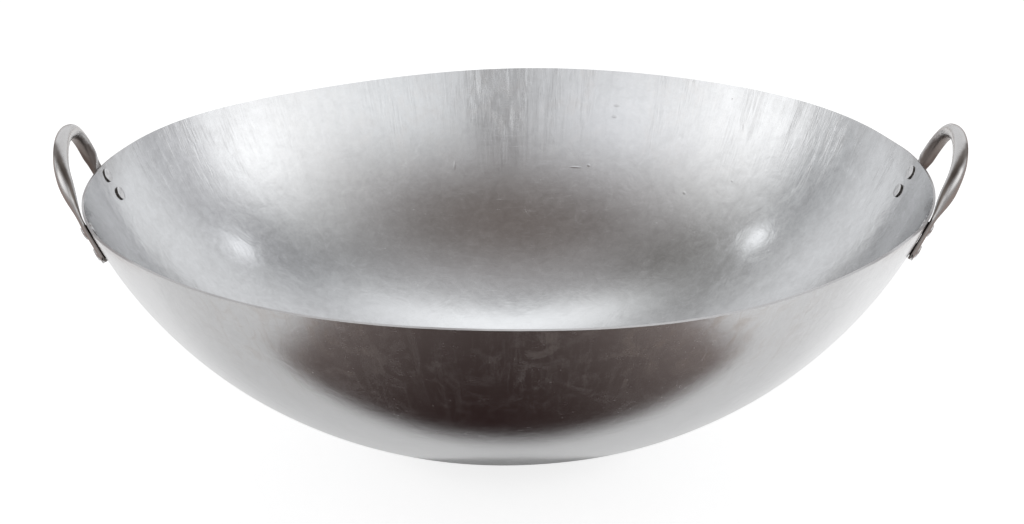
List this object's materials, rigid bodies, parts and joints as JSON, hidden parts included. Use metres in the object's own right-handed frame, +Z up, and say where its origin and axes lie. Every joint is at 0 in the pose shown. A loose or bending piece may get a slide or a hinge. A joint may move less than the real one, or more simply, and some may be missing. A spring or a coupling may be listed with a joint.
{
  "type": "wok",
  "caption": "Round-bottomed cooking bowl of thin steel sheet, with a loop handle of bent tube riveted to each side for lifting and tossing food.",
  "frame": {"origin": "middle of the small flat under the bowl, on the bowl's axis, where the wok stands", "axes": "+Z up through the mouth of the bowl, +X from the bowl's axis to the right handle, +Y to the back"},
  "size_m": [0.5335, 0.5, 0.1854],
  "materials": {
    "bowl_steel": "thin cold-formed steel sheet, polished and drawn, with fine scratches",
    "handle_steel": "bent steel tube, brighter and smoother than the bowl",
    "rivet_steel": "plain steel rivet, set by hammer"
  },
  "bodies": {
    "root": {"bowl": "bowl_steel", "handle_left": "handle_steel", "handle_right": "handle_steel", "rivet_left_front_lower": "rivet_steel", "rivet_left_front_upper": "rivet_steel", "rivet_left_back_lower": "rivet_steel", "rivet_left_back_upper": "rivet_steel", "rivet_right_front_lower": "rivet_steel", "rivet_right_front_upper": "rivet_steel", "rivet_right_back_lower": "rivet_steel", "rivet_right_back_upper": "rivet_steel"}
  },
  "joints": []
}
